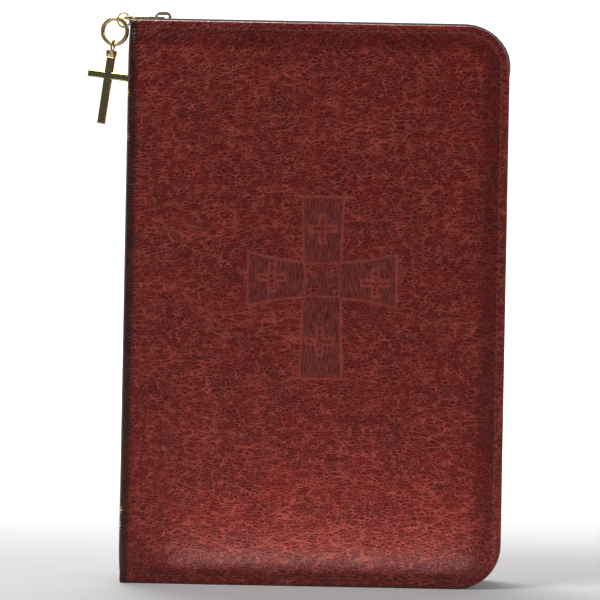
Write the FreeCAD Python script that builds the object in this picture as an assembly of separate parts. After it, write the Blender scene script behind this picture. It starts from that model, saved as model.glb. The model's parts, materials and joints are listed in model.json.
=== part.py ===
"""Zippered leather Bible, standing on its tail edge.

Book axes: x = 0 on the spine's outer face and grows to the fore edge, y = 0 at mid thickness with the
front cover at negative y, z = 0 on the tail edge. Every shape is built there and then moved along X,
so that the origin is the centre of the whole object's footprint.
"""
import FreeCAD, Part
import math
import os

V = FreeCAD.Vector

# ---- driving dimensions, millimetres and degrees
CASE_HEIGHT = 216.0
CASE_WIDTH = 146.5
CASE_THICKNESS = 38.0
CORNER_RADIUS = 17.0        # fore-edge corners of the case
SPINE_CORNER = 3.0          # rounding of the leather between the spine and a cover
LEATHER = 1.0
FOAM = 1.1
BOARD = 1.1
LINING = 0.4
FLYLEAF = 0.25
BORDER = 5.0                # flat border outside the padded field
HINGE_DEPTH = 0.65          # hinge line of the leather below its outer face
HINGE_GAP = 3.4             # where the front cover's stiff part starts

PAGE_HEIGHT = 204.0
PAGE_START = 3.2
PAGE_END = 138.5
PAGE_CORNER = 10.0
PAGE_STACK = 30.2           # all the sections with the gaps between the groups
GROUP_GAP = 0.35
GROUPS = (3, 2, 2, 5)       # sections that turn together, front to back; the last group stays

TAPE_INSET = 2.0            # zipper tape below the edge of the case
TAPE = 0.6
TAPE_EDGE = 2.0             # from mid thickness to the tape's edge
TOOTH_PITCH = 3.0
TOOTH_TIP = 0.5
TEETH_HEIGHT = 1.6

STITCH_INSET = 3.15
THREAD = 0.5

SLIDER_START = 5.6
SLIDER_LENGTH = 12.0
SLIDER_WIDTH = 8.5
PIVOT_X = 12.2              # pull tab's axle, under the slider's bridge
PIVOT_RISE = 2.4            # above the head edge
PULL_THICKNESS = 1.2
EYE_X = -0.8                # eye at the pull tab's tip
EYE_RADIUS = 1.3
EYE_WALL = 1.2

SMALL_RING = (2.8, 0.4)     # torus radius, wire radius
SMALL_RING_TURN = 36.0
BIG_RING = (5.0, 0.85)
BIG_RING_TURN = 14.0
BIG_RING_X = -6.5
BAIL = (1.9, 0.45)
CROSS_TILT = 7.7           # about the big ring's centre, with an arm against the spine
CROSS_LENGTH = 26.5
CROSS_SPAN = 16.8
CROSS_DEPTH = 1.8

half = CASE_THICKNESS / 2
skin = LEATHER + FOAM + BOARD
inner_face = half - skin - LINING
tape_z = CASE_HEIGHT - TAPE_INSET - TAPE / 2
page_bottom = (CASE_HEIGHT - PAGE_HEIGHT) / 2
page_top = page_bottom + PAGE_HEIGHT

shapes = {}


def box(x0, x1, y0, y1, z0, z1):
    return Part.makeBox(x1 - x0, y1 - y0, z1 - z0, V(x0, y0, z0))


def bow(centre, radius, start, stop, y):
    """Arc in the XZ plane, angles in degrees from +X towards +Z."""
    at = [math.radians(start + (stop - start) * k / 2) for k in range(3)]
    points = [V(centre[0] + radius * math.cos(a), y, centre[1] + radius * math.sin(a)) for a in at]
    return Part.Arc(*points).toShape()


def slab(x0, x1, z0, z1, radius, y0, y1):
    """Panel with its two fore-edge corners rounded, from y0 to y1."""
    cx = x1 - radius
    edges = [
        Part.makeLine(V(x0, y0, z0), V(cx, y0, z0)),
        bow((cx, z0 + radius), radius, -90, 0, y0),
        Part.makeLine(V(x1, y0, z0 + radius), V(x1, y0, z1 - radius)),
        bow((cx, z1 - radius), radius, 0, 90, y0),
        Part.makeLine(V(cx, y0, z1), V(x0, y0, z1)),
        Part.makeLine(V(x0, y0, z1), V(x0, y0, z0)),
    ]
    return Part.Face(Part.Wire(edges)).extrude(V(0, y1 - y0, 0))


def case_slab(inset, x0, y0, y1):
    return slab(x0, CASE_WIDTH - inset, inset, CASE_HEIGHT - inset, CORNER_RADIUS - inset, y0, y1)


def edge_strip(inset, width, x0, y0, y1):
    """Strip along the head, fore edge and tail, between two insets from the case's outline."""
    return case_slab(inset, x0, y0, y1).cut(case_slab(inset + width, x0 - 1, y0, y1))


def flip(shape):
    """The same piece on the back cover."""
    return shape.mirror(V(0, 0, 0), V(0, 1, 0))


def route(inset, head_start, tail_start):
    """Places along the zipper: x, z and the direction of travel, one for each tooth."""
    radius = CORNER_RADIUS - inset
    low, high = inset, CASE_HEIGHT - inset
    fore = CASE_WIDTH - inset
    corner_x = fore - radius
    places = []

    def straight(x0, z0, x1, z1):
        length = math.hypot(x1 - x0, z1 - z0)
        count = int(length / TOOTH_PITCH)
        for k in range(count):
            t = (k + 0.5) / count
            angle = math.degrees(math.atan2(z1 - z0, x1 - x0))
            places.append((x0 + (x1 - x0) * t, z0 + (z1 - z0) * t, angle))

    def corner(cz, start, stop):
        count = int(math.radians(abs(stop - start)) * radius / TOOTH_PITCH)
        for k in range(count):
            a = start + (stop - start) * (k + 0.5) / count
            r = math.radians(a)
            places.append((corner_x + radius * math.cos(r), cz + radius * math.sin(r), a - 90))

    straight(head_start, high, corner_x, high)
    corner(high - radius, 90, 0)
    straight(fore, high - radius, fore, low + radius)
    corner(low + radius, 0, -90)
    straight(corner_x, low, tail_start, low)
    return places


def along(x, z, angle, length, thickness, y0, y1):
    """Small block centred at a place on the zipper, turned along it."""
    piece = box(-length / 2, length / 2, y0, y1, -thickness / 2, thickness / 2)
    piece.rotate(V(0, 0, 0), V(0, 1, 0), -angle)
    piece.translate(V(x, 0, z))
    return piece


def flared_cross(y0, y1):
    """Plain cross with waisted arms, for the shallow mark on the front cover."""
    cx, cz = 76.0, CASE_HEIGHT / 2 + 9.5
    waist, flare = 7.3, 9.6
    right, up, down = 28.5, 32.0, 38.0
    points = [
        (cx - waist, cz + waist), (cx - flare + 1.4, cz + up), (cx + flare - 1.4, cz + up),
        (cx + waist, cz + waist), (cx + right, cz + flare), (cx + right, cz - flare),
        (cx + waist, cz - waist), (cx + flare - 1.4, cz - down), (cx - flare + 1.4, cz - down),
        (cx - waist, cz - waist), (cx - right, cz - flare), (cx - right, cz + flare),
    ]
    corners = [V(x, y0, z) for x, z in points]
    return Part.Face(Part.makePolygon(corners + corners[:1])).extrude(V(0, y1 - y0, 0))


def cover(side):
    """Everything that is layered into one cover. The front is built, the back is its mirror."""
    front = side == "front"
    start = HINGE_GAP if front else SPINE_CORNER
    field_x = start + BORDER
    pocket = case_slab(BORDER, field_x, -half + LEATHER, -half + skin)
    leather = case_slab(0, start, -half, -half + skin).cut(pocket)
    groove = edge_strip(STITCH_INSET, THREAD, start, -half, -half + THREAD / 2)
    leather = leather.cut(groove)
    if front:
        leather = leather.cut(flared_cross(-half - 1, -half + 0.3))
    pieces = {
        "cover_leather": leather,
        "stitching": groove,
        "foam_pad": case_slab(BORDER, field_x, -half + LEATHER, -half + LEATHER + FOAM),
        "board": case_slab(BORDER, field_x, -half + LEATHER + FOAM, -half + skin),
        "lining": case_slab(1.2, start, -half + skin, -inner_face),
        "flyleaf": slab(PAGE_START + 1.5, PAGE_END, page_bottom, page_top, PAGE_CORNER,
                        -inner_face, -inner_face + FLYLEAF),
        "zipper_tape": edge_strip(TAPE_INSET, TAPE, HINGE_GAP + 0.2, -inner_face, -TAPE_EDGE),
    }
    middle = TAPE_INSET + TAPE / 2
    head_start, tail_start = SLIDER_START + SLIDER_LENGTH + 3.4, 8.0
    core = edge_strip(middle - TEETH_HEIGHT / 2, TEETH_HEIGHT, head_start, -TAPE_EDGE, -TAPE_EDGE + 0.6)
    teeth = [along(x, z, a, 1.3, TEETH_HEIGHT, -TAPE_EDGE + 0.4, -TOOTH_TIP)
             for x, z, a in route(middle, head_start + 0.5, head_start + 0.5)]
    pieces["zipper_teeth"] = core.multiFuse(teeth)
    stop_height = 1.0 if front else TEETH_HEIGHT
    stops = [box(4.0, 5.2, -TAPE_EDGE, -TAPE_EDGE + 1.2, z - stop_height / 2, z + stop_height / 2)
             for z in (tape_z, CASE_HEIGHT - tape_z)]
    pieces["end_stops"] = Part.makeCompound(stops)
    for name, shape in pieces.items():
        shapes[side + "_" + name] = shape if front else flip(shape)


def spine():
    outer, inner = SPINE_CORNER, SPINE_CORNER - LEATHER
    cy = half - SPINE_CORNER
    turn = math.sqrt(0.5)

    def mid(radius):
        return V(SPINE_CORNER - radius * turn, cy + radius * turn, 0)

    edges = [
        Part.makeLine(V(0, -cy, 0), V(0, cy, 0)),
        Part.Arc(V(0, cy, 0), mid(outer), V(SPINE_CORNER, half, 0)).toShape(),
        Part.makeLine(V(SPINE_CORNER, half, 0), V(SPINE_CORNER, half - LEATHER, 0)),
        Part.Arc(V(SPINE_CORNER, half - LEATHER, 0), mid(inner), V(LEATHER, cy, 0)).toShape(),
        Part.makeLine(V(LEATHER, cy, 0), V(LEATHER, -cy, 0)),
        Part.makeLine(V(LEATHER, -cy, 0), V(0, -cy, 0)),
    ]
    shapes["spine_leather"] = Part.Face(Part.Wire(edges)).extrude(V(0, 0, CASE_HEIGHT))
    shapes["spine_stiffener"] = box(LEATHER, LEATHER + 0.6, -15, 15, 2, CASE_HEIGHT - 2)
    shapes["spine_mull"] = box(2.5, 3.1, -14.5, 14.5, 20, CASE_HEIGHT - 20)
    for name, z in (("head_band", page_top + 0.4), ("tail_band", page_bottom - 0.4)):
        shapes[name] = Part.makeCylinder(0.7, 28, V(2.35, -14, z), V(0, 1, 0))


def pages():
    """Sewn sections, each one a closed stack of leaves. Returns each group's front face."""
    thickness = (PAGE_STACK - GROUP_GAP * (len(GROUPS) - 1)) / sum(GROUPS)
    y = -PAGE_STACK / 2
    number = 1
    fronts = []
    for count in GROUPS:
        fronts.append(y)
        for _ in range(count):
            shapes["page_section_%02d" % number] = slab(
                PAGE_START, PAGE_END, page_bottom, page_top, PAGE_CORNER, y, y + thickness)
            y += thickness
            number += 1
        y += GROUP_GAP
    shapes["ribbon_marker"] = box(PAGE_START, PAGE_START + 6, fronts[-1] - 0.2, fronts[-1], 3.5, page_top)
    return fronts


def slider():
    x0, x1 = SLIDER_START, SLIDER_START + SLIDER_LENGTH
    w = SLIDER_WIDTH / 2
    top = tape_z + TEETH_HEIGHT / 2 + 1.0
    body = box(x0, x1, -w, w, tape_z - TEETH_HEIGHT / 2 - 1.0, top)
    channel = box(x0 - 1, x1 + 1, -w + 1.05, w - 1.05, tape_z - 1.2, tape_z + 1.2)
    slit = box(x0 - 1, x1 + 1, -w - 1, w + 1, tape_z - TAPE, tape_z + TAPE)
    post = box(x1 - 3.2, x1 - 0.2, -0.3, 0.3, tape_z - 1.25, tape_z + 1.25)
    crown = pivot_z + 2.7
    arch_points = [(-3.3, top), (-3.3, pivot_z + 0.9), (-2.0, crown - 0.3), (-0.6, crown),
                   (1.6, crown), (2.8, crown - 0.6), (3.3, pivot_z + 1.0), (3.3, top)]
    outline = [V(PIVOT_X + x, -1.1, z) for x, z in arch_points]
    arch = Part.Face(Part.makePolygon(outline + outline[:1])).extrude(V(0, 2.2, 0))
    window = box(PIVOT_X - 2.1, PIVOT_X + 2.1, -2, 2, top, pivot_z + 1.4)
    shapes["zipper_slider"] = body.cut(channel).cut(slit).fuse([post, arch.cut(window)]).removeSplitter()


def pull():
    z0 = pivot_z - PULL_THICKNESS / 2
    z1 = pivot_z + PULL_THICKNESS / 2
    reach = 4.1
    fork = box(PIVOT_X - reach - 1.4, PIVOT_X + 0.7, -2.7, 2.7, z0, z1)
    neck = box(EYE_X, PIVOT_X - reach, -1.5, 1.5, z0, z1)
    tip = Part.makeCylinder(EYE_RADIUS + EYE_WALL, PULL_THICKNESS, V(EYE_X, 0, z0))
    window = box(PIVOT_X - reach, PIVOT_X - 0.7, -1.5, 1.5, z0 - 1, z1 + 1)
    eye = Part.makeCylinder(EYE_RADIUS, PULL_THICKNESS + 2, V(EYE_X, 0, z0 - 1))
    shapes["pull_tab"] = fork.fuse([neck, tip]).cut(window).cut(eye).removeSplitter()


def ring(centre, size, turn):
    """Ring standing upright, its plane turned about Z away from the XZ plane."""
    a = math.radians(turn)
    return Part.makeTorus(size[0], size[1], centre, V(math.sin(a), -math.cos(a), 0))


def outward(turn):
    a = math.radians(turn)
    return V(-math.cos(a), -math.sin(a), 0)


def rings():
    """The small ring in the pull tab's eye, the big ring in it, and where each one swings."""
    lean = V(0, 0, -1) + outward(SMALL_RING_TURN)
    lean.normalize()
    bar = V(EYE_X, 0, pivot_z) + outward(SMALL_RING_TURN) * (EYE_RADIUS + EYE_WALL / 2)
    small = bar + lean * 1.3
    link = small + lean * 0.75
    shapes["small_ring"] = ring(small, SMALL_RING, SMALL_RING_TURN)
    away = outward(-BIG_RING_TURN)
    side = (link.x - BIG_RING_X) / -away.x
    drop = math.sqrt(BIG_RING[0] ** 2 - side ** 2)
    big = link + away * side + V(0, 0, -drop)
    shapes["big_ring"] = ring(big, BIG_RING, -BIG_RING_TURN)
    return bar, big


def charm(big):
    """Bail and cross, built straight under the big ring and then turned about the ring's centre."""
    loop = ring(V(0, 0, -0.45), BAIL, 90)
    collar_top, collar_bottom = -0.45 - BAIL[0] - BAIL[1] + 0.3, -4.9
    collar = box(-1.9, 1.9, -1.0, 1.0, collar_bottom, collar_top)
    bail = loop.fuse(collar).removeSplitter()
    top = collar_bottom
    upright = box(-1.65, 1.65, -CROSS_DEPTH / 2, CROSS_DEPTH / 2, top - CROSS_LENGTH, top)
    arm_z = top - 7.4
    arms = box(-CROSS_SPAN / 2, CROSS_SPAN / 2, -CROSS_DEPTH / 2, CROSS_DEPTH / 2, arm_z - 1.45, arm_z + 1.45)
    bars = upright.fuse(arms).removeSplitter()
    faces = [f for f in bars.Faces if abs(f.normalAt(0, 0).y) > 0.9]
    rim = {e.hashCode(): e for f in faces for e in f.Edges}
    bars = bars.makeChamfer(0.35, list(rim.values()))
    for name, piece in (("charm_bail", bail), ("charm_cross", bars)):
        piece.translate(V(0, 0, -BIG_RING[0]))
        piece.rotate(V(0, 0, 0), V(0, 1, 0), CROSS_TILT)
        piece.rotate(V(0, 0, 0), V(0, 0, 1), -BIG_RING_TURN)
        piece.translate(big)
        shapes[name] = piece


pivot_z = CASE_HEIGHT + PIVOT_RISE
cover("front")
cover("back")
spine()
group_fronts = pages()
slider()
pull()
bar_point, ring_centre = rings()
charm(ring_centre)

whole = Part.makeCompound(list(shapes.values())).BoundBox
shift = V(-(whole.XMin + whole.XMax) / 2, 0, 0)

pivots = {
    "cover_hinge": V(HINGE_DEPTH, -half + HINGE_DEPTH, 0),
    "pull_flip": V(PIVOT_X, 0, pivot_z),
    "small_ring_swing": bar_point,
    "big_ring_swing": ring_centre,
    "charm_swing": ring_centre,
}
for number, front in enumerate(group_fronts[:-1]):
    pivots["page_turn_%d" % (number + 1)] = V(PAGE_START, front, 0)

os.makedirs("parts", exist_ok=True)
for name, shape in shapes.items():
    moved = shape.copy()
    moved.translate(shift)
    assert moved.isValid(), name
    moved.exportStep("parts/%s.step" % name)
print("shift along X", round(shift.x, 4), "nodes", len(shapes))
for name, place in pivots.items():
    at = place + shift
    print(name, [round(c / 1000, 6) for c in (at.x, at.y, at.z)])
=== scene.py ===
"""Looks of the zippered leather Bible: leather skins, stitches, zipper, pages and gold charm round the CAD frame."""
import json
import math

import bmesh
import bpy
import numpy as np
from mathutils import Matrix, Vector


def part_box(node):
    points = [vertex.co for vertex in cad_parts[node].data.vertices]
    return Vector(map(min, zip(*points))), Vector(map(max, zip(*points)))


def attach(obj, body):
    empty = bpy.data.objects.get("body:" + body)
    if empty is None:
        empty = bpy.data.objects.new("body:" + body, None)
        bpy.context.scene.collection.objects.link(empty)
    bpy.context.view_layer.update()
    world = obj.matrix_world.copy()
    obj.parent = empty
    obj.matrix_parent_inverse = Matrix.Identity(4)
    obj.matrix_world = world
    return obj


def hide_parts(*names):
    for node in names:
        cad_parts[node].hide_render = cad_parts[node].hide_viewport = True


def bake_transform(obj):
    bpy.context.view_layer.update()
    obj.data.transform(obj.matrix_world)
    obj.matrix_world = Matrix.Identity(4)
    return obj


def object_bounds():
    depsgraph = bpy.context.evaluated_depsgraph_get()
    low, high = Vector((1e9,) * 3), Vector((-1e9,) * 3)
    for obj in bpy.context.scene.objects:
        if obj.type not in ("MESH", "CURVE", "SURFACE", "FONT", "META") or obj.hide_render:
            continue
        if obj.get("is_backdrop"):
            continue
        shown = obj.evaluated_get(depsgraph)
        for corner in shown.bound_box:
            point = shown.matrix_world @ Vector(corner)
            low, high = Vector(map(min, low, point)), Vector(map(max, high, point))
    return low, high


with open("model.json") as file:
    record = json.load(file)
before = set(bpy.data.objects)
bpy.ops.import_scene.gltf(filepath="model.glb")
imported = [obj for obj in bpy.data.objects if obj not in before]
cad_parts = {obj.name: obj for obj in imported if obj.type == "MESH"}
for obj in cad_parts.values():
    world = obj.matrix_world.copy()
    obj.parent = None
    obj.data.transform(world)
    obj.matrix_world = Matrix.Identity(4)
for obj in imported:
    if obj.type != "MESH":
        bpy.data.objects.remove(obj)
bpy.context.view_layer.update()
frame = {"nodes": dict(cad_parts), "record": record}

# ---- places from the frame. Book axes are millimetres: x from the spine's outer face, z from the tail edge
spine_low, spine_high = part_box("spine_leather")
skin_low, skin_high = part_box("front_cover_leather")
page_low, page_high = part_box("page_section_08")
SPINE_X = spine_low[0]
HEIGHT = spine_high[2] * 1000
WIDTH = (skin_high[0] - SPINE_X) * 1000
HALF = -skin_low[1] * 1000
INNER = -skin_high[1] * 1000
CORNER = 17.0
HINGE = (3.0, 16.0)             # radius of the leather's turn at the spine, and where it starts from mid thickness
PAGE_X = ((page_low[0] - SPINE_X) * 1000, (page_high[0] - SPINE_X) * 1000)
PAGE_Z = (page_low[2] * 1000, page_high[2] * 1000)
PAGE_CORNER = 10.0
STITCH = 3.15
CROSS_AT = (76.0, HEIGHT / 2 + 9.5)
rng = np.random.default_rng(7)


def place(points):
    """Book millimetres to metres in the row frame."""
    p = np.asarray(points, float) / 1000.0
    p[:, 0] += SPINE_X
    return p


def smooth(a, b, v):
    t = np.clip((v - a) / (b - a), 0, 1)
    return t * t * (3 - 2 * t)


# ---------------------------------------------------------------- meshes
def make(name, points, faces, materials, uv=None, slots=None, shade=True):
    """Mesh piece from book millimetres. uv has one row for each vertex, in centimetres."""
    mesh = bpy.data.meshes.new(name)
    mesh.from_pydata(place(points).tolist(), [], [tuple(map(int, f)) for f in faces])
    for m in materials:
        mesh.materials.append(m)
    if slots is not None:
        mesh.polygons.foreach_set("material_index", np.asarray(slots, np.int32))
    mesh.polygons.foreach_set("use_smooth", np.full(len(mesh.polygons), shade))
    if uv is not None:
        layer = mesh.uv_layers.new(name="UVMap")
        corner = np.empty(len(mesh.loops), np.int32)
        mesh.loops.foreach_get("vertex_index", corner)
        layer.data.foreach_set("uv", np.asarray(uv, np.float32)[corner].ravel())
    mesh.validate()
    mesh.update()
    obj = bpy.data.objects.new(name, mesh)
    bpy.context.collection.objects.link(obj)
    return obj


def grid_faces(rows, columns, offset=0):
    """Quads of a grid stored row by row."""
    k = np.arange((rows - 1) * (columns - 1))
    a = k // (columns - 1) * columns + k % (columns - 1) + offset
    return np.stack([a, a + 1, a + columns + 1, a + columns], 1)


def sweep(name, path, frames, profile, material, closed_path=False, v_scale=0.1):
    """Closed profile (a list of 2-D points) carried along a path. frames gives the profile's two directions."""
    n, m = len(path), len(profile)
    prof = np.asarray(profile, float)
    a, b = frames
    pts = path[:, None, :] + prof[None, :, 0, None] * a[:, None, :] + prof[None, :, 1, None] * b[:, None, :]
    faces = []
    for i in range(n if closed_path else n - 1):
        j = (i + 1) % n
        for k in range(m):
            l = (k + 1) % m
            faces.append((i * m + k, i * m + l, j * m + l, j * m + k))
    if not closed_path:
        faces += [tuple(range(m - 1, -1, -1)), tuple((n - 1) * m + k for k in range(m))]
    run = np.concatenate([[0], np.cumsum(np.linalg.norm(np.diff(path, axis=0), axis=1))]) * v_scale
    uv = np.stack([np.repeat(run, m), np.tile(np.linspace(0, 1, m), n)], 1)
    return make(name, pts.reshape(-1, 3), faces, [material], uv)


# ---------------------------------------------------------------- materials
class Nodes:
    """Short calls for the nodes of one material."""

    def __init__(self, name):
        self.material = bpy.data.materials.new(name)
        self.material.use_nodes = True
        self.tree = self.material.node_tree
        self.shader = self.tree.nodes["Principled BSDF"]

    def add(self, kind, **inputs):
        node = self.tree.nodes.new(kind)
        for key, value in inputs.items():
            self.put(node, key, value)
        return node

    def put(self, node, key, value):
        sockets = node.inputs
        socket = sockets[int(key[1:])] if key[0] == "i" and key[1:].isdigit() else sockets[key.replace("_", " ")]
        if hasattr(value, "outputs"):
            value = value.outputs[0]
        if isinstance(value, bpy.types.NodeSocket):
            self.tree.links.new(value, socket)
        else:
            socket.default_value = value

    def math(self, operation, a, b=0.0, clamp=False):
        node = self.add("ShaderNodeMath", i0=a, i1=b)
        node.operation, node.use_clamp = operation, clamp
        return node

    def ramp(self, value, low, high, a=0.0, b=1.0):
        node = self.add("ShaderNodeMapRange", i0=value, i1=low, i2=high, i3=a, i4=b)
        node.interpolation_type = "SMOOTHSTEP"
        return node

    def mix(self, factor, a, b):
        node = self.tree.nodes.new("ShaderNodeMix")
        node.data_type = "RGBA"
        for socket, value in ((node.inputs[0], factor), (node.inputs[6], a), (node.inputs[7], b)):
            if hasattr(value, "outputs"):
                value = value.outputs[2] if value.bl_idname == "ShaderNodeMix" else value.outputs[0]
            if isinstance(value, bpy.types.NodeSocket):
                self.tree.links.new(value, socket)
            else:
                socket.default_value = (*value, 1) if isinstance(value, tuple) and len(value) == 3 else value
        return node.outputs[2]

    def scaled(self, source, x, y, z=1.0):
        node = self.add("ShaderNodeMapping", Vector=source)
        node.inputs["Scale"].default_value = (x, y, z)
        return node

    def noise(self, source, scale, detail=3.0, roughness=0.55, distortion=0.0):
        return self.add("ShaderNodeTexNoise", Vector=source, Scale=scale, Detail=detail, Roughness=roughness,
                        Distortion=distortion)

    def cells(self, source, scale, feature="DISTANCE_TO_EDGE"):
        node = self.add("ShaderNodeTexVoronoi", Vector=source, Scale=scale)
        node.feature = feature
        return node

    def warp(self, source, noise, amount):
        shift = self.add("ShaderNodeVectorMath", i0=noise.outputs["Color"], i1=(0.5, 0.5, 0.5))
        shift.operation = "SUBTRACT"
        size = self.add("ShaderNodeVectorMath", i0=shift)
        size.operation = "SCALE"
        size.inputs["Scale"].default_value = amount
        total = self.add("ShaderNodeVectorMath", i0=source, i1=size)
        return total

    def bump(self, height, strength, distance):
        return self.add("ShaderNodeBump", Height=height, Strength=strength, Distance=distance)

    def uv(self):
        return self.tree.nodes.new("ShaderNodeTexCoord").outputs["UV"]

    def place(self):
        return self.tree.nodes.new("ShaderNodeTexCoord").outputs["Object"]

    def finish(self, **inputs):
        for key, value in inputs.items():
            self.put(self.shader, key, value)
        return self.material


def leather(name, dark, bright, crease_highlight, deboss=False):
    n = Nodes(name)
    uv = n.uv()
    wander = n.noise(uv, 1.3, 4)
    bent = n.warp(uv, wander, 0.35)
    fine = n.noise(uv, 9.0, 3)
    bent_fine = n.warp(bent, fine, 0.06)
    pebbles = n.cells(n.scaled(bent_fine, 0.55, 1.05), 8.4)
    small = n.cells(n.scaled(bent_fine, 0.7, 1.05), 13.0)
    long_lines = n.cells(n.scaled(bent, 0.20, 1.15), 3.2)
    line_a = n.ramp(pebbles, 0.025, 0.13, 1.0, 0.0)
    line_b = n.ramp(small, 0.01, 0.12, 1.0, 0.0)
    line_c = n.ramp(long_lines, 0.0, 0.06, 1.0, 0.0)
    patches = n.ramp(n.noise(uv, 0.55, 3), 0.38, 0.62)
    strong = n.ramp(n.noise(uv, 3.2, 3), 0.38, 0.64, 0.25, 1.0)
    crease_highlights = n.math("MULTIPLY", line_a, n.math("MULTIPLY", strong, 1.0))
    long_share = n.math("MULTIPLY", line_c, n.math("MULTIPLY", patches, 1.0))
    marks = n.math("MAXIMUM", crease_highlights, long_share)
    marks = n.math("MAXIMUM", marks, n.math("MULTIPLY", line_b, 0.2))
    stretch_and_shade = n.add("ShaderNodeAttribute")
    stretch_and_shade.attribute_name = "stretch_and_shade"
    # band just inside the stitching: less grain where the leather is stretched over the padding
    marks = n.math("MULTIPLY", marks, n.ramp(stretch_and_shade.outputs["Fac"], 0.0, 1.0, 1.0, 0.4))
    tone = n.mix(n.ramp(n.noise(uv, 0.9, 5, 0.65), 0.3, 0.7), dark, bright)
    # the same band darkens the tone: painted shade where the padding rises from the border
    tone = n.mix(n.math("MULTIPLY", stretch_and_shade.outputs["Fac"], 0.35), tone, tuple(c * 0.6 for c in dark))
    speckle = n.ramp(n.noise(uv, 24.0, 2), 0.3, 0.75, 0.82, 1.12)
    # the grain lines are coloured light: painted highlights along the pebbles' edges, put into the base colour
    grained = n.mix(marks, tone, crease_highlight)
    height = n.math("SUBTRACT", n.ramp(pebbles, 0.0, 0.32), n.math("MULTIPLY", marks, 0.9))
    height = n.math("ADD", height, n.math("MULTIPLY", fine, 0.25))
    rough = n.ramp(n.noise(uv, 5.0, 3), 0.3, 0.7, 0.27, 0.36)
    if deboss:
        across = n.add("ShaderNodeSeparateXYZ", i0=uv)
        # darker band on the leather's turn round the spine: painted shade on the rounding
        spine_turn_shade = n.math("MULTIPLY", n.ramp(across, 3.10, 3.32), n.ramp(across, 3.62, 3.86, 0.85, 0.0))
        grained = n.mix(spine_turn_shade, grained, (0.016, 0.0008, 0.0006))
        flat = n.add("ShaderNodeAttribute")
        flat.attribute_name = "deboss"
        pressed = flat.outputs["Fac"]
        lines = n.add("ShaderNodeAttribute")
        lines.attribute_name = "outline"
        strokes = n.noise(n.scaled(uv, 16.0, 1.6), 1.6, 3, 0.6)
        striped = n.mix(n.ramp(strokes, 0.36, 0.66), (0.070, 0.0045, 0.0040), (0.24, 0.045, 0.036))
        grained = n.mix(n.math("MULTIPLY", pressed, 0.85), grained, striped)
        grained = n.mix(n.math("MULTIPLY", lines.outputs["Fac"], 0.75), grained, crease_highlight)
        height = n.math("MULTIPLY", height, n.ramp(pressed, 0.0, 1.0, 1.0, 0.25))
        height = n.math("ADD", height, n.math("MULTIPLY", strokes, n.math("MULTIPLY", pressed, 0.3)))
        rough = n.math("ADD", rough, n.math("MULTIPLY", pressed, 0.08))
    shade = n.tree.nodes.new("ShaderNodeMix")
    shade.data_type, shade.blend_type = "RGBA", "MULTIPLY"
    shade.inputs[0].default_value = 1.0
    n.tree.links.new(grained, shade.inputs[6])
    n.tree.links.new(speckle.outputs[0], shade.inputs[7])
    return n.finish(Base_Color=shade.outputs[2], Roughness=rough, Normal=n.bump(height, 0.5, 0.00022),
                    Specular_IOR_Level=0.12, Coat_Weight=0.42, Coat_Roughness=0.16,
                    Coat_Normal=n.bump(height, 0.25, 0.00022))


def gold(name, colour, rough, scratch=0.08):
    n = Nodes(name)
    at = n.place()
    wear = n.noise(at, 900, 4)
    lines = n.noise(n.scaled(at, 4000, 4000, 300), 1.0, 2)
    deep = tuple(c * 0.72 for c in colour)
    return n.finish(Base_Color=n.mix(n.ramp(wear, 0.35, 0.65), colour, deep), Metallic=1.0,
                    Roughness=n.ramp(wear, 0.3, 0.7, rough, rough + scratch),
                    Normal=n.bump(lines, 0.08, 0.00003))


def cloth(name, colour, per_cm, rough=0.75, sheen=0.25, ribs=False, from_uv=True, unit=1.0):
    """Woven cloth with crossing threads. unit is 1 for centimetre UVs and 100 for places in metres."""
    n = Nodes(name)
    source = n.uv() if from_uv else n.scaled(n.place(), unit, unit, unit)
    waves = []
    for direction in ("X", "Y"):
        wave = n.add("ShaderNodeTexWave", Vector=source, Scale=per_cm / 3.14159, Distortion=0.4, Detail=1.0)
        wave.bands_direction = direction
        waves.append(wave)
    height = waves[0] if ribs else n.math("MAXIMUM", waves[0].outputs["Fac"], waves[1].outputs["Fac"])
    fuzz = n.noise(source, per_cm * 0.6, 4)
    tone = n.mix(n.ramp(fuzz, 0.3, 0.7), tuple(c * 0.6 for c in colour), tuple(min(1, c * 1.5) for c in colour))
    shaded = n.mix(n.ramp(height, 0.2, 0.9, 0.5, 0.0), tone, tuple(c * 0.25 for c in colour))
    return n.finish(Base_Color=shaded, Roughness=rough, Sheen_Weight=sheen, Specular_IOR_Level=0.2,
                    Normal=n.bump(height, 0.6, 0.00012))


def paper(name, colour):
    n = Nodes(name)
    fibres = n.noise(n.scaled(n.uv(), 14, 5), 2.0, 5, 0.7)
    tone = n.mix(n.ramp(fibres, 0.3, 0.7), tuple(c * 0.93 for c in colour), colour)
    return n.finish(Base_Color=tone, Roughness=0.8, Specular_IOR_Level=0.25, Normal=n.bump(fibres, 0.12, 0.00005))


def leaf_edges(name, colour, gilt):
    """Edges of a stack of thin leaves: fine uneven lines along the leaves, with worn gilding."""
    n = Nodes(name)
    uv = n.uv()
    leaves = n.noise(n.scaled(uv, 0.6, 75), 1.0, 3, 0.7)
    worn = n.ramp(n.noise(uv, 1.5, 4), 0.35, 0.8, 0.0, 0.5)
    tone = n.mix(n.ramp(leaves, 0.35, 0.62), tuple(c * 0.62 for c in gilt), gilt)
    tone = n.mix(worn, tone, colour)
    return n.finish(Base_Color=tone, Metallic=0.55, Roughness=n.ramp(leaves, 0.3, 0.7, 0.34, 0.52),
                    Normal=n.bump(leaves, 0.6, 0.00012))


def plastic(name, colour, rough):
    n = Nodes(name)
    grain = n.noise(n.uv(), 12.0, 4)
    tone = n.mix(n.ramp(grain, 0.3, 0.7), colour, tuple(c * 1.6 for c in colour))
    return n.finish(Base_Color=tone, Roughness=n.ramp(grain, 0.3, 0.7, rough, rough + 0.12),
                    Normal=n.bump(grain, 0.2, 0.00004))


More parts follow.
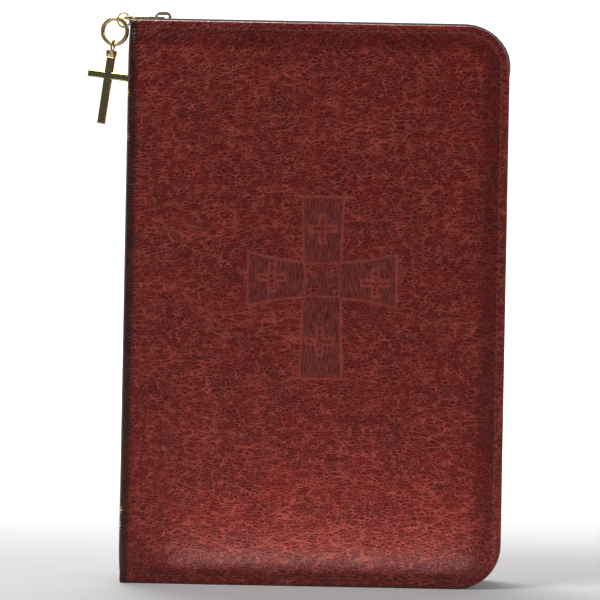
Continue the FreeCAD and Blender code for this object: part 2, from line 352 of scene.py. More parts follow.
def board(name, colour, scale=300.0):
    n = Nodes(name)
    grain = n.noise(n.place(), scale, 6, 0.7)
    tone = n.mix(n.ramp(grain, 0.3, 0.7), tuple(c * 0.75 for c in colour), colour)
    return n.finish(Base_Color=tone, Roughness=0.88, Normal=n.bump(grain, 0.3, 0.0002))


def lining(name, colour):
    """Fine-grained dark lining of the inside of the covers."""
    n = Nodes(name)
    at = n.place()
    pores = n.cells(at, 1100.0)
    tone = n.mix(n.ramp(n.noise(at, 60, 4), 0.3, 0.7), colour, tuple(c * 1.5 for c in colour))
    return n.finish(Base_Color=tone, Roughness=0.5, Normal=n.bump(n.ramp(pores, 0.0, 0.2), 0.4, 0.0001))


# the third colour is the light colour of the grain lines, a painted highlight along the pebbles' edges
DARK, BRIGHT, CREASE_HIGHLIGHT = (0.076, 0.0006, 0.0003), (0.140, 0.0011, 0.0005), (0.36, 0.055, 0.036)
MAT = {
    "leather": leather("oxblood_leather", DARK, BRIGHT, CREASE_HIGHLIGHT),
    "marked": leather("oxblood_leather_marked", DARK, BRIGHT, CREASE_HIGHLIGHT, deboss=True),
    "thread": cloth("waxed_thread", (0.20, 0.045, 0.035), 30, 0.5, 0.1, ribs=True),
    # very dark colour of the stitch holes: painted shade
    "hole": board("stitch_hole_shade", (0.012, 0.003, 0.003)),
    "gold": gold("polished_gold", (0.80, 0.66, 0.31), 0.10),
    # darker gold for the charm's flat faces: a painted dark reflection
    "gold_dark_reflection": gold("gold_painted_dark_reflection", (0.34, 0.33, 0.16), 0.10, 0.06),
    "foil": gold("gold_foil", (0.80, 0.55, 0.22), 0.28),
    "tape": cloth("zipper_tape", (0.006, 0.006, 0.007), 14, 0.85, 0.03),
    "coil": plastic("zipper_coil", (0.010, 0.010, 0.011), 0.28),
    "paper": paper("bible_paper", (0.84, 0.81, 0.72)),
    "endpaper": paper("endpaper", (0.80, 0.77, 0.69)),
    "edges": leaf_edges("gilt_leaf_edges", (0.80, 0.74, 0.60), (0.80, 0.58, 0.26)),
    "lining": lining("cover_lining", (0.022, 0.010, 0.010)),
    "board": board("cover_board", (0.42, 0.36, 0.28)),
    "foam": board("padding_foam", (0.75, 0.73, 0.66), 700.0),
    "mull": cloth("backing_cloth", (0.62, 0.58, 0.48), 9, 0.9, 0.1, from_uv=False, unit=100),
    "bands": cloth("band_silk", (0.30, 0.02, 0.02), 12, 0.55, 0.3, ribs=True, from_uv=False, unit=100),
    "ribbon": cloth("ribbon_satin", (0.22, 0.012, 0.016), 26, 0.42, 0.4),
}


# ---------------------------------------------------------------- shape of the padded covers
BORDER_FACE = HALF - 1.25       # leather face in the stitched border, from mid thickness
PAD_RISE = 1.2
ROUND = 1.3                     # rounding of the leather at the case's edges


def edge_distance(x, z):
    """Distance inside the head, fore and tail edges."""
    dx, dz = WIDTH - x, np.minimum(z, HEIGHT - z)
    corner = (dx < CORNER) & (dz < CORNER)
    return np.where(corner, CORNER - np.hypot(CORNER - dx, CORNER - dz), np.minimum(dx, dz))


def swell(x, z):
    """Slow unevenness of the padding."""
    return (0.055 * np.sin(x / 11.0 + 1.3 * np.sin(z / 29.0)) + 0.05 * np.sin(z / 9.5 + 1.1 * np.sin(x / 17.0))
            + 0.03 * np.sin((x + 0.6 * z) / 5.2))


def face_height(x, z):
    """Outer face of a cover, from mid thickness."""
    d = np.maximum(edge_distance(x, z), 0.0)
    u = np.clip((d - 3.9) / 13.0, 0, 1)
    pad = (1 - (1 - u) ** 2.4) * smooth(-0.02, 0.16, u)
    edge = np.clip(ROUND - d, 0, ROUND)
    height = BORDER_FACE + PAD_RISE * pad + swell(x, z) * pad
    height -= ROUND - np.sqrt(np.maximum(ROUND ** 2 - edge ** 2, 0))
    return height - 0.20 * np.exp(-((d - STITCH) / 0.65) ** 2)


def cross_marks(x, z):
    """How deep the cross is pressed, 0 to 1, and how strongly its outlines are drawn."""
    cx, cz = x - CROSS_AT[0], z - CROSS_AT[1]
    half_bar = 7.2 + 0.9 * np.clip(np.abs(cz) / 35, 0, 1) ** 2
    half_arm = 6.7 + 3.7 * np.clip(np.abs(cx) / 28.5, 0, 1) ** 2.4
    bar = np.minimum(half_bar - np.abs(cx), np.minimum(31.8 - cz, cz + 37.8))
    arm = np.minimum(half_arm - np.abs(cz), 28.5 - np.abs(cx))
    d = np.maximum(bar, arm)
    pressed = smooth(-0.15, 0.45, d)
    square = (np.abs(cx) < 6.6) & (np.abs(cz) < 6.3)
    middle = (np.abs(cx) < 1.5) & (np.abs(cz) < 5.2) | (np.abs(cz) < 1.5) & (np.abs(cx) < 5.2)
    pressed = np.where(square & ~middle, 0.12, pressed)

    def line(distance, width=0.42):
        return np.exp(-(distance / width) ** 2)

    marks = line(d) * 0.9
    ends = [(np.abs(cx) < 11.3, cz - 31.8), (np.abs(cx + 0.8) < 11.8, cz + 37.8),
            (np.abs(cz) < 10.6, cx - 28.5), (np.abs(cz) < 10.4, cx + 28.5)]
    for inside, distance in ends:
        marks = np.maximum(marks, np.where(inside, line(distance), 0))
    box_line = np.abs(np.maximum(np.abs(cx) - 6.7, np.abs(cz) - 6.4))
    marks = np.maximum(marks, line(box_line, 0.35) * 0.7)
    for px, pz in ((-19.3, 0.6), (20.2, -0.8), (-0.2, 19.6), (-0.6, -23.6)):
        ax, az = np.abs(cx - px), np.abs(cz - pz)
        small = np.maximum(np.minimum(1.15 - ax, 5.3 - az), np.minimum(1.15 - az, 5.3 - ax))
        pressed = np.where(small > 0.1, pressed * 0.2, pressed)
        marks = np.maximum(marks, line(small, 0.38) * 1.0)
    return pressed, marks


def lines_between(stops):
    """Grid lines from (value, spacing) stops."""
    out = [stops[0][0]]
    for (a, step), (b, _) in zip(stops, stops[1:]):
        count = max(1, round((b - a) / step))
        out += [a + (b - a) * (k + 1) / count for k in range(count)]
    return np.array(out)


def skin_rows(fine):
    """Levels along z: even steps round the corner arcs, close together where the cross is."""
    arc = CORNER * (1 - np.cos(np.radians(np.linspace(0, 90, 25))))
    low, high = CROSS_AT[1] - 39.5, CROSS_AT[1] + 33.5
    step = 0.42 if fine else 1.6
    middle = lines_between([(CORNER, 1.5), (low, step), (high, 1.5), (HEIGHT - CORNER, 1)])
    return np.concatenate([arc, middle[1:-1], HEIGHT - arc[::-1]])


def skin_columns(fine):
    """Stops along x from the spine's turn to the fore edge."""
    low, high = CROSS_AT[0] - 30.0, CROSS_AT[0] + 30.0
    step = 0.42 if fine else 1.6
    body = lines_between([(HINGE[0], 1.3), (low, step), (high, 1.4), (WIDTH - 16, 0.9), (WIDTH - 5, 0.42),
                          (WIDTH - ROUND, 1)])
    rim = WIDTH - ROUND * (1 - np.sin(np.radians(np.linspace(0, 90, 7))))
    return np.concatenate([body, rim[1:]])


def cover_skin(name, side, with_spine, fine, material):
    """One cover's leather with its turned-in edge. The front one carries on round the spine."""
    rows, columns = skin_rows(fine), skin_columns(fine)
    radius, start = HINGE
    turn = np.radians(np.linspace(0, 90, 11))[:-1]
    spine = np.linspace(start, -start, 13)[:-1] if with_spine else np.empty(0)
    z = rows[:, None]
    dz = np.minimum(rows, HEIGHT - rows)
    reach = np.where(dz < CORNER, WIDTH - CORNER + np.sqrt(np.maximum(CORNER ** 2 - (CORNER - dz) ** 2, 0)), WIDTH)
    x_face = HINGE[0] + (columns[None, :] - HINGE[0]) * (reach[:, None] - HINGE[0]) / (WIDTH - HINGE[0])
    z_face = np.broadcast_to(z, x_face.shape)
    y_face = face_height(x_face, z_face)
    marks = np.zeros((2,) + x_face.shape)
    if fine:
        marks = np.array(cross_marks(x_face, z_face))
        y_face = y_face - 0.30 * marks[0] - 0.07 * marks[1]
    rim = face_height(np.full_like(rows, HINGE[0] + 20), rows)[:, None]
    lift = y_face[:, :1] - start
    x_turn = radius - radius * np.cos(turn)[None, :] + 0 * z
    y_turn = start + lift * np.sin(turn)[None, :]
    head_round = BORDER_FACE + PAD_RISE - rim
    x_spine = np.clip(head_round * 0.35, 0, 0.6) + 0 * spine[None, :]
    x_turn = x_turn + np.clip(head_round * 0.35, 0, 0.6) * np.cos(turn)[None, :]
    y_spine = -spine[None, :] + 0 * z
    x = np.concatenate([x_spine, x_turn, x_face], 1)
    y = np.concatenate([y_spine, y_turn, y_face], 1)
    before = x_spine.shape[1] + x_turn.shape[1]
    run = np.concatenate([start - spine if with_spine else np.empty(0), 2 * start + turn * radius,
                          2 * start + radius * math.pi / 2 + columns - HINGE[0]])
    inner_x = np.concatenate([np.full(len(spine), 1.0), np.maximum(x_turn[0], 1.0), x_face[len(rows) // 2]])
    inner_y = np.concatenate([-spine, np.minimum(y_turn[0], INNER - 0.1), np.full(x_face.shape[1], INNER)])
    n, m = x.shape
    body = np.stack([x, y, np.broadcast_to(z, x.shape)], 2).reshape(-1, 3)
    uv = np.stack([np.broadcast_to(run / 10, x.shape), np.broadcast_to(z / 10, x.shape)], 2).reshape(-1, 2)
    marks = np.pad(marks, ((0, 0), (0, 0), (before, 0))).reshape(2, -1)
    points, uvs, faces = [body], [uv], [grid_faces(n, m)]
    count = len(body)

    def lip(edge_index, rings):
        """Turned-in edge: rings of points that start on the outer grid's edge."""
        nonlocal count
        previous = edge_index
        for k, ring in enumerate(rings):
            index = np.arange(len(ring)) + count
            points.append(ring)
            uvs.append(uv[edge_index] + (k + 1) * 0.15)
            a, b = previous[:-1], previous[1:]
            faces.append(np.stack([a, b, index[1:], index[:-1]], 1))
            previous, count = index, count + len(ring)

    low, high = np.arange(m), np.arange(m) + (n - 1) * m
    fore = np.arange(n) * m + m - 1
    for index, z_edge, sign in ((low, 0.0, 1), (high, HEIGHT, -1)):
        edge_x = np.minimum(inner_x, body[index][:, 0] + 1.0)
        first = np.stack([edge_x, inner_y, np.full(m, z_edge)], 1)
        second = first + np.array([0, 0, sign * 2.6])
        lip(index, [first, second])
    edge = body[fore]
    flat = np.stack([edge[:, 0], np.full(n, INNER), edge[:, 2]], 1)
    tuck = flat.copy()
    centre_z = np.clip(edge[:, 2], CORNER, HEIGHT - CORNER)
    inward = np.stack([WIDTH - CORNER - edge[:, 0], 0 * centre_z, centre_z - edge[:, 2]], 1)
    tuck += inward / CORNER * 2.6
    lip(fore, [flat, tuck])
    points, uvs, faces = np.concatenate(points), np.concatenate(uvs), np.concatenate(faces)
    flip = side == "front"
    points[:, 1] *= -1 if flip else 1
    faces = faces if flip else faces[:, ::-1]
    obj = make(name, points, faces, [material], uvs)
    d = edge_distance(x_face, z_face)
    # band just inside the stitching where the padding rises, weaker towards the tail edge: it smooths the grain and
    # carries a painted shade
    stretch_and_shade = smooth(3.2, 4.2, d) * (1 - smooth(6.0, 14.0, d)) * (0.25 + 0.75 * smooth(4.0, 40.0, z_face))
    stretch_and_shade = np.pad(stretch_and_shade, ((0, 0), (before, 0))).reshape(-1)
    for key, values in (("deboss", marks[0]), ("outline", marks[1]), ("stretch_and_shade", stretch_and_shade)):
        attribute = obj.data.attributes.new(key, "FLOAT", "POINT")
        attribute.data.foreach_set("value", np.pad(values, (0, len(points) - len(values))).astype(np.float32))
    return obj


HINGE_FROM = tuple(place([[0.0, -15.5, 0.0]])[0])
HINGE_TO = tuple(place([[4.5, -19.5, 0.0]])[0])

front_skin = cover_skin("front_and_spine_leather", "front", True, True, MAT["marked"])
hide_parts("front_cover_leather", "spine_leather", "front_foam_pad")
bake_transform(front_skin)
back_skin = cover_skin("back_leather", "back", False, False, MAT["leather"])
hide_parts("back_cover_leather", "back_foam_pad")
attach(back_skin, "case")


# ---------------------------------------------------------------- along the edge of the case
def border_route(inset, head_start, tail_start, step):
    """Points, run and outward direction at even steps from the head's spine end round to the tail's."""
    r = CORNER - inset
    fore, top, bottom = WIDTH - inset, HEIGHT - inset, inset
    corner_x = fore - r
    parts = [(corner_x - head_start), r * math.pi / 2, top - bottom - 2 * r, r * math.pi / 2, corner_x - tail_start]
    ends = np.cumsum(parts)
    count = int(ends[-1] / step)
    s = (np.arange(count) + 0.5) * ends[-1] / count
    out = np.empty((count, 4))
    for k, v in enumerate(s):
        if v < ends[0]:
            out[k] = head_start + v, top, 0, 1
        elif v < ends[1]:
            a = math.pi / 2 - (v - ends[0]) / r
            out[k] = corner_x + r * math.cos(a), top - r + r * math.sin(a), math.cos(a), math.sin(a)
        elif v < ends[2]:
            out[k] = fore, top - r - (v - ends[1]), 1, 0
        elif v < ends[3]:
            a = -(v - ends[2]) / r
            out[k] = corner_x + r * math.cos(a), bottom + r + r * math.sin(a), math.cos(a), math.sin(a)
        else:
            out[k] = corner_x - (v - ends[3]), bottom, 0, -1
    return out, s


STITCH_ROW = (STITCH, 7.0, 7.0, 3.0)        # inset, where the row starts at head and tail, and its pitch


def stitches(name, side, material):
    """Separate waxed stitches, each a small rounded bar that dips into the leather at both ends."""
    route, _ = border_route(*STITCH_ROW)
    u, v = np.meshgrid(np.linspace(0, math.pi, 9), np.linspace(0, 2 * math.pi, 9)[:-1], indexing="ij")
    bar = np.stack([-np.cos(u) * 1.12, np.sin(u) ** 0.6 * np.cos(v) * 0.33, np.sin(u) ** 0.6 * np.sin(v) * 0.26], 2)
    bar = bar.reshape(-1, 3)
    faces = grid_faces(9, 8)
    wrap = np.array([(i * 8 + 7, i * 8, i * 8 + 8, i * 8 + 15) for i in range(8)])
    faces = np.concatenate([faces, wrap])
    sign = -1 if side == "front" else 1
    points, all_faces, uvs = [], [], []
    for k, (x, z, nx, nz) in enumerate(route):
        slant = math.radians(rng.normal(4, 3))
        tx, tz = nz * math.cos(slant) + nx * math.sin(slant), -nx * math.cos(slant) + nz * math.sin(slant)
        height = float(face_height(np.array(x), np.array(z))) + 0.05
        p = np.stack([x + bar[:, 0] * tx + bar[:, 1] * tz, sign * (height + bar[:, 2]),
                      z + bar[:, 0] * tz - bar[:, 1] * tx], 1)
        points.append(p)
        all_faces.append(faces + k * len(bar))
        uvs.append(np.stack([bar[:, 0] * 0.1 + bar[:, 1] * 0.06 + k * 0.3, bar[:, 1] * 0.1], 1))
    return make(name, np.concatenate(points), np.concatenate(all_faces), [material], np.concatenate(uvs))


def stitch_holes(name, side):
    """Pricked holes between the stitches, sunk flush with the leather; their very dark colour is painted shade in
    the holes.
    """
    route, _ = border_route(*STITCH_ROW)
    run = (route[:-1] + route[1:]) / 2
    ring = np.linspace(0, 2 * math.pi, 9)[:-1]
    sign = -1 if side == "front" else 1
    points, faces = [], []
    for k, (x, z, _, _) in enumerate(run):
        height = float(face_height(np.array(x), np.array(z)))
        px, pz = x + 0.40 * np.cos(ring), z + 0.40 * np.sin(ring)
        points.append(np.stack([px, np.full(8, sign * (height - 0.02)), pz], 1))
        points.append(np.array([[x, sign * (height + 0.07), z]]))
        faces += [(k * 9 + i, k * 9 + (i + 1) % 8, k * 9 + 8) for i in range(8)]
    return make(name, np.concatenate(points), faces, [MAT["hole"]])


BODY = {"front": "front_cover", "back": "case"}


ZIP_INSET = 2.3
COIL_PITCH = 1.35


def tape_wall(side):
    """Zipper tape: bulges out from under the cover's edge and comes back in to the coil."""
    route, run = border_route(ZIP_INSET, 4.0, 4.0, 2.4)
    t = np.linspace(0, 1, 15)
    depth = (INNER + 0.15) + (2.05 - INNER - 0.15) * t
    at_head = smooth(HEIGHT - 30, HEIGHT - 8, route[:, 1])
    at_fore = smooth(WIDTH - 20, WIDTH - 4, route[:, 0])
    bulge = 1.3 + 2.8 * at_head + 0.8 * at_fore * (1 - at_head)
    out = -0.5 * (1 - t)[None, :] + bulge[:, None] * np.sin(np.pi * t ** 0.85)[None, :] ** 0.8
    sign = -1 if side == "front" else 1
    layers = []
    for shift in (0.0, -0.45):
        x = route[:, 0:1] + route[:, 2:3] * (out + shift)
        z = route[:, 1:2] + route[:, 3:4] * (out + shift)
        layers.append(np.stack([x, np.broadcast_to(sign * depth, x.shape), z], 2))
    n, m = len(route), 2 * len(t)
    loop = np.concatenate([layers[0], layers[1][:, ::-1]], 1)
    faces = []
    for i in range(n - 1):
        for k in range(m):
            l = (k + 1) % m
            faces.append((i * m + k, i * m + l, (i + 1) * m + l, (i + 1) * m + k))
    faces += [tuple(range(m - 1, -1, -1)), tuple((n - 1) * m + k for k in range(m))]
    across = np.concatenate([depth, depth[::-1]]) / 10
    uv = np.stack([np.repeat(run / 10, m), np.tile(across, n)], 1)
    tape = make(side + "_tape_woven", loop.reshape(-1, 3), faces, [MAT["tape"]], uv)
    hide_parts(side + "_zipper_tape")
    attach(tape, BODY[side])


def coil(side):
    """Nylon coil along the tape's edge, a flattened helix."""
    route, run = border_route(ZIP_INSET, 23.2, 9.0, 0.14)
    turn = run / COIL_PITCH * 2 * math.pi + (math.pi if side == "back" else 0)
    sign = -1 if side == "front" else 1
    out = 0.62 * np.sin(turn)
    y = sign * (1.08 + 0.86 * np.cos(turn))
    path = np.stack([route[:, 0] + route[:, 2] * out, y, route[:, 1] + route[:, 3] * out], 1)
    tangent = np.gradient(path, axis=0)
    tangent /= np.linalg.norm(tangent, axis=1)[:, None]
    a = np.cross(tangent, np.stack([route[:, 2], 0 * run, route[:, 3]], 1) + [0.0, 0.3, 0.0])
    a /= np.linalg.norm(a, axis=1)[:, None]
    b = np.cross(tangent, a)
    ring = [(0.24 * math.cos(v), 0.24 * math.sin(v)) for v in np.linspace(0, 2 * math.pi, 6)[:-1]]
    teeth = sweep(side + "_coil", path, (a, b), ring, MAT["coil"])
    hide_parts(side + "_zipper_teeth")
    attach(teeth, BODY[side])


for side in ("front", "back"):
    thread = stitches(side + "_stitches", side, MAT["thread"])
    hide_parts(side + "_stitching")
    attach(thread, BODY[side])
    holes = stitch_holes(side + "_stitch_holes", side)
    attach(holes, BODY[side])
    tape_wall(side)
    coil(side)


# ---------------------------------------------------------------- pages
def page_columns():
    near = PAGE_X[0] + np.array([0, 1, 2, 3, 4.5, 6, 8, 10, 12.5, 15, 18, 21, 25, 30, 40])
    corner = PAGE_X[1] - PAGE_CORNER * (1 - np.sin(np.radians(np.linspace(0, 90, 13))))
    return np.concatenate([near, [60.0, 90.0, 110.0], corner])


def corner_inset(x):
    """How far the leaves' rounded corners come in from the head and the tail."""
    into = x - PAGE_X[1] + PAGE_CORNER
    return np.where(into > 0, PAGE_CORNER - np.sqrt(np.maximum(PAGE_CORNER ** 2 - into ** 2, 0)), 0)


def section(number, y0, y1, layers=7):
    """Stack of leaves with slightly uneven edges. Edges are gilt, faces are paper."""
    x = page_columns()
    inset = corner_inset(x)
    y = np.linspace(y0, y1, layers)
    n = len(x)
    points, uvs = [], []
    path = np.concatenate([[0], np.cumsum(np.hypot(np.diff(x), np.diff(inset)))]) / 10
    for level in y:
        trim_x, trim_z = rng.uniform(-0.16, 0.0), rng.uniform(0.0, 0.12)
        px = x + trim_x * (x - PAGE_X[0]) / (PAGE_X[1] - PAGE_X[0])
        for z, u in ((PAGE_Z[0] + inset + trim_z, path), (PAGE_Z[1] - inset - trim_z, 40 - path)):
            points.append(np.stack([px, np.full(n, level), z], 1))
            uvs.append(np.stack([u, np.full(n, level / 10)], 1))
    faces = []
    for layer in range(layers - 1):
        for k, flip in ((0, False), (1, True)):
            a, b = (2 * layer + k) * n, (2 * layer + 2 + k) * n
            for i in range(n - 1):
                quad = (a + i, a + i + 1, b + i + 1, b + i)
                faces.append(quad[::-1] if flip else quad)
        low, high, low2, high2 = (np.arange(4) + 2 * layer) * n
        faces.append((low + n - 1, high + n - 1, high2 + n - 1, low2 + n - 1))
        faces.append((low, low2, high2, high))
    slots = [1] * len(faces)
    last = 2 * (layers - 1) * n
    for i in range(n - 1):
        faces.append((i, n + i, n + i + 1, i + 1))
        faces.append((last + i, last + i + 1, last + n + i + 1, last + n + i))
        slots += [0, 0]
    return make("pages_%02d" % number, np.concatenate(points), faces, [MAT["paper"], MAT["edges"]],
                np.concatenate(uvs), slots, shade=False)


GUTTER = {"pages_1": 12.0, "pages_2": 20.0, "pages_3": 27.0}
for number in range(1, 13):
    node = "page_section_%02d" % number
    low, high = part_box(node)
    stack = section(number, low[1] * 1000, high[1] * 1000)
    body = next(b for b, nodes in frame["record"]["behaviour"]["bodies"].items() if node in nodes)
    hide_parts(node)
    if body in GUTTER:
        tuple(place([[PAGE_X[0], 0, 0]])[0])
        tuple(place([[PAGE_X[0] + GUTTER[body], 0, 0]])[0])
        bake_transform(stack)
    else:
        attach(stack, body)


def sheet_leaf(name, y, thickness):
    """One endpaper leaf from the spine to the fore edge."""
    x = page_columns()
    inset = corner_inset(x)
    t = np.linspace(0, 1, 9)[:, None]
    z = (PAGE_Z[0] + inset) * (1 - t) + (PAGE_Z[1] - inset) * t
    xs = np.broadcast_to(x, z.shape)
    layer = [np.stack([xs, np.full(z.shape, y + k * thickness), z], 2).reshape(-1, 3) for k in (0, 1)]
    n = len(x)
    front, back = grid_faces(9, n), grid_faces(9, n, len(layer[0]))[:, ::-1]
    rim = np.concatenate([np.arange(n), np.arange(1, 9) * n + n - 1, 8 * n + np.arange(n - 2, -1, -1),
                          np.arange(7, 0, -1) * n])
    side = np.stack([rim, rim + len(layer[0]), np.roll(rim, -1) + len(layer[0]), np.roll(rim, -1)], 1)
    points = np.concatenate(layer)
    return make(name, points, np.concatenate([front, back, side]), [MAT["endpaper"]], points[:, [0, 2]] / 10)


front_leaf = sheet_leaf("front_endpaper", -15.32, 0.15)
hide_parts("front_flyleaf")
tuple(place([[PAGE_X[0], 0, 0]])[0])
tuple(place([[PAGE_X[0] + 9, 0, 0]])[0])
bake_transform(front_leaf)
back_leaf = sheet_leaf("back_endpaper", 15.17, 0.15)
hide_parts("back_flyleaf")
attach(back_leaf, "case")


def ribbon():
    """Satin marker between two sections, with a notched end below the page block."""
    low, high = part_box("ribbon_marker")
    y = low[1] * 1000
    z = np.linspace(low[2] * 1000, high[2] * 1000, 60)
    x0 = PAGE_X[0] + 1.0
    drift = 1.2 * np.sin(z / 42.0) + 1.2
    across = np.linspace(0, 5.0, 7)
    x = x0 + drift[:, None] + across[None, :]
    notch = np.zeros_like(x)
    notch[0] = 2.4 * (1 - np.abs(across / 2.5 - 1))
    zz = z[:, None] + notch
    yy = y + 0.05 + 0.04 * np.sin(z / 5.0)[:, None] + 0 * x
    outer = np.stack([x, yy, zz], 2).reshape(-1, 3)
    inner = outer + [0, 0.08, 0]
    faces = np.concatenate([grid_faces(60, 7), grid_faces(60, 7, len(outer))[:, ::-1]])
    points = np.concatenate([outer, inner])
    return make("ribbon_satin", points, faces, [MAT["ribbon"]], points[:, [0, 2]] / 10)


marker = ribbon()
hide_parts("ribbon_marker")
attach(marker, "case")


# ---------------------------------------------------------------- gold foil on the spine
def foil(name, outline, z):
    """Foil stamped on the spine: strips laid on the leather, each a run round the spine at one height range."""
    points, faces, count = [], [], 0
    for (low, high), angle in outline:
        t = np.radians(np.linspace(angle, 0, 9))
        back = np.stack([3 - 3 * np.cos(t), 16 + 2.9 * np.sin(t)], 1)
        face = np.stack([np.zeros(21), np.linspace(15.2, -15.2, 21)], 1)
        path = np.concatenate([back, face, (back * [1, -1])[::-1]])
        normal = np.stack([-np.cos(t), np.sin(t)], 1)
        normals = np.concatenate([normal, np.tile([-1.0, 0.0], (21, 1)), (normal * [1, -1])[::-1]])
        path = path + normals * 0.05
        n = len(path)
        for level in (low, high):
            points.append(np.column_stack([path, np.full(n, z + level)]))
        faces += [(count + i, count + i + 1, count + n + i + 1, count + n + i) for i in range(n - 1)]
        count += 2 * n
    strip = make(name, np.concatenate(points), faces, [MAT["foil"]])
    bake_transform(strip)


rule = [((-0.45, 0.45), 55), ((1.0, 1.3), 55), ((-1.3, -1.0), 55)]
for number, z in enumerate((22.0, 28.0, 171.0, 188.0)):
    foil("spine_rule_%d" % (number + 1), rule, z)


def spine_cross():
    """Plain foil cross between the upper rules."""
    bars = [(-0.55, 0.55, 174.0, 185.0), (-3.3, 3.3, 180.4, 181.5)]
    points = [(-0.05, y, z) for a, b, c, d in bars for y, z in ((a, c), (b, c), (b, d), (a, d))]
    mark = make("spine_cross", points, [(3, 2, 1, 0), (7, 6, 5, 4)], [MAT["foil"]])
    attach(mark, "case")


spine_cross()


# ---------------------------------------------------------------- gold hardware
def polished(name, node, body, bevel, flat=False):
    """Plated copy of a CAD solid with rounded edges. flat gives the large front and back faces a darker gold colour,
    a painted dark reflection.
    """
    source = bpy.data.objects[node]
    mesh = source.data.copy()
    obj = bpy.data.objects.new(name, mesh)
    bpy.context.scene.collection.objects.link(obj)
    obj.matrix_world = source.matrix_world.copy()
    mesh.materials.clear()
    mesh.materials.append(MAT["gold"])
    mesh.materials.append(MAT["gold_dark_reflection"])
    faces = bmesh.new()
    faces.from_mesh(mesh)
    bmesh.ops.remove_doubles(faces, verts=faces.verts, dist=2e-6)
    bmesh.ops.dissolve_limit(faces, angle_limit=math.radians(1.5), verts=faces.verts, edges=faces.edges)
    for f in faces.faces:
        f.smooth = True
        f.material_index = 1 if flat and abs(f.normal.y) > 0.97 and f.calc_area() > 2e-5 else 0
    faces.to_mesh(mesh)
    faces.free()
    if bevel:
        rounded = obj.modifiers.new("rounded", "BEVEL")
        rounded.width = bevel
        rounded.segments = 3
        rounded.limit_method = "ANGLE"
        rounded.angle_limit = math.radians(28)
        rounded.harden_normals = True
    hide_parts(node)
    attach(obj, body)
    return obj


polished("slider_body", "zipper_slider", "slider", 0.00025)
polished("pull_tab_plate", "pull_tab", "pull", 0.00018)
polished("charm_cross_gold", "charm_cross", "charm", 0.00010, flat=True)
polished("charm_bail_gold", "charm_bail", "charm", 0.0)


RING_WIRE = {"small_ring": 0.4, "big_ring": 0.85}
RING_TURN = {"small_ring": math.radians(36), "big_ring": math.radians(-14)}


def plated_ring(name, node, body):
    """Round wire ring in place of the CAD one: its centre and size come from the CAD box."""
    low, high = (np.array(c) * 1000 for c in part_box(node))
    centre, size = (low + high) / 2, high - low
    wire = RING_WIRE[node]
    radius = size[2] / 2 - wire
    turn = RING_TURN[node]
    ring_u = np.linspace(0, 2 * math.pi, 97)[:-1]
    axis_x, axis_y = math.cos(turn), math.sin(turn)
    out = np.stack([np.cos(ring_u) * axis_x, np.cos(ring_u) * axis_y, np.sin(ring_u)], 1)
    normal = np.tile([-axis_y, axis_x, 0.0], (96, 1))
    profile = [(wire * math.cos(v), wire * math.sin(v)) for v in np.linspace(0, 2 * math.pi, 25)[:-1]]
    path = centre - [SPINE_X * 1000, 0, 0] + out * radius
    ring = sweep(name, path, (out, normal), profile, MAT["gold"], closed_path=True)
    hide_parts(node)
    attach(ring, body)


plated_ring("small_jump_ring", "small_ring", "small_ring")
plated_ring("split_ring", "big_ring", "big_ring")

# ---------------------------------------------------------------- finishes of the parts kept as they are
KEPT = {"lining": "lining", "board": "board", "stiffener": "board", "foam": "foam", "mull": "mull",
        "head_band": "bands", "tail_band": "bands", "end_stops": "gold"}
for node in frame["nodes"]:
    for word, material in KEPT.items():
        if word in node:
            obj = bpy.data.objects[node]
            obj.data.materials.clear()
            obj.data.materials.append(MAT[material])

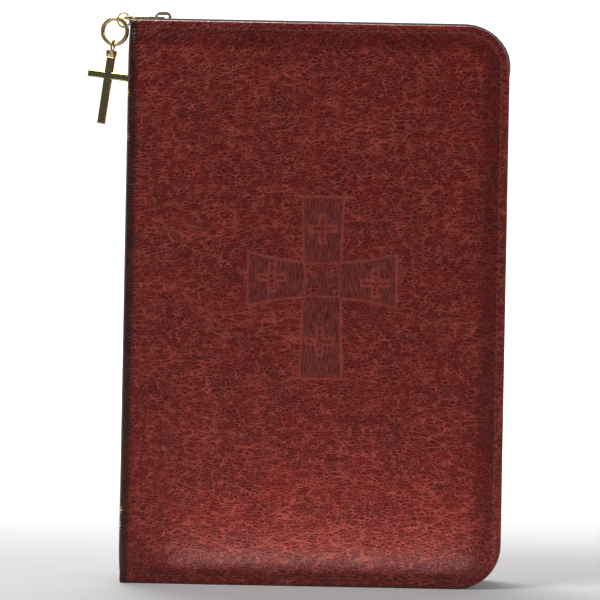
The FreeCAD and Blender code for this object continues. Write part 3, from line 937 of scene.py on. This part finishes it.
# ---------------------------------------------------------------- floor, light and camera
def cyclorama():
    """Pale floor that curves up into a back wall. The wall glows softly, the floor hardly at all."""
    bend = np.radians(np.linspace(0, 90, 13))
    ys = np.concatenate([[-3.0, -1.0], np.linspace(-0.1, 0.9, 11), 1.0 + 0.5 * np.sin(bend), [1.5]])
    zs = np.concatenate([np.zeros(13), 0.5 - 0.5 * np.cos(bend), [3.0]])
    points = [(x, y, z) for y, z in zip(ys, zs) for x in (-3.0, 3.0)]
    mesh = bpy.data.meshes.new("floor")
    mesh.from_pydata(points, [], [(2 * i, 2 * i + 1, 2 * i + 3, 2 * i + 2) for i in range(len(ys) - 1)])
    mesh.polygons.foreach_set("use_smooth", np.ones(len(mesh.polygons), bool))
    glow = mesh.attributes.new("glow", "FLOAT", "POINT")
    glow.data.foreach_set("value", np.repeat(0.02 + 0.88 * smooth(-0.1, 0.9, ys), 2).astype(np.float32))
    floor = bpy.data.objects.new("floor", mesh)
    bpy.context.scene.collection.objects.link(floor)
    n = Nodes("pale_floor")
    level = n.add("ShaderNodeAttribute")
    level.attribute_name = "glow"
    mesh.materials.append(n.finish(Base_Color=(0.5, 0.5, 0.5, 1), Roughness=0.95, Specular_IOR_Level=0.1,
                                   Emission_Color=(1, 1, 1, 1), Emission_Strength=level.outputs["Fac"]))
    floor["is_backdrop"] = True


cyclorama()

world = bpy.data.worlds.new("studio")
bpy.context.scene.world = world
world.use_nodes = True
world.node_tree.nodes["Background"].inputs["Color"].default_value = (1.0, 1.0, 1.0, 1)
world.node_tree.nodes["Background"].inputs["Strength"].default_value = 0.2


def softbox(name, at, towards, width, height, watts, colour=(1, 1, 1)):
    data = bpy.data.lights.new(name, "AREA")
    data.shape = "RECTANGLE"
    data.size, data.size_y = width, height
    data.energy = watts
    data.color = colour
    obj = bpy.data.objects.new(name, data)
    bpy.context.scene.collection.objects.link(obj)
    obj.location = at
    obj.rotation_euler = (Vector(towards) - Vector(at)).to_track_quat("-Z", "Y").to_euler()
    return obj


middle = (0.0, 0.0, 0.11)
softbox("over_left", (-0.45, -0.42, 0.95), middle, 0.35, 0.35, 6.0)
softbox("over_right", (0.95, -0.40, 0.60), middle, 0.4, 0.5, 2.2)
softbox("behind", (-0.3, 0.9, 1.2), middle, 0.9, 0.7, 16)
# a small panel on the floor, which draws the light band along the bottom of the padding
softbox("low_front", (0.015, -0.043, 0.004), (0.015, -0.043, 1.0), 0.120, 0.030, 0.040)

camera_data = bpy.data.cameras.new("camera")
camera = bpy.data.objects.new("camera", camera_data)
bpy.context.scene.collection.objects.link(camera)
camera_data.sensor_width = 36.0
camera_data.lens = 141.2
camera.location = (0.00303, -0.919, 0.1097)         # 0.9 m in front of the cover, level with its middle
camera.rotation_euler = (math.radians(90), math.radians(-1.1), 0)
bpy.context.scene.camera = camera
bpy.context.scene.view_settings.view_transform = "Standard"

low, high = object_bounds()
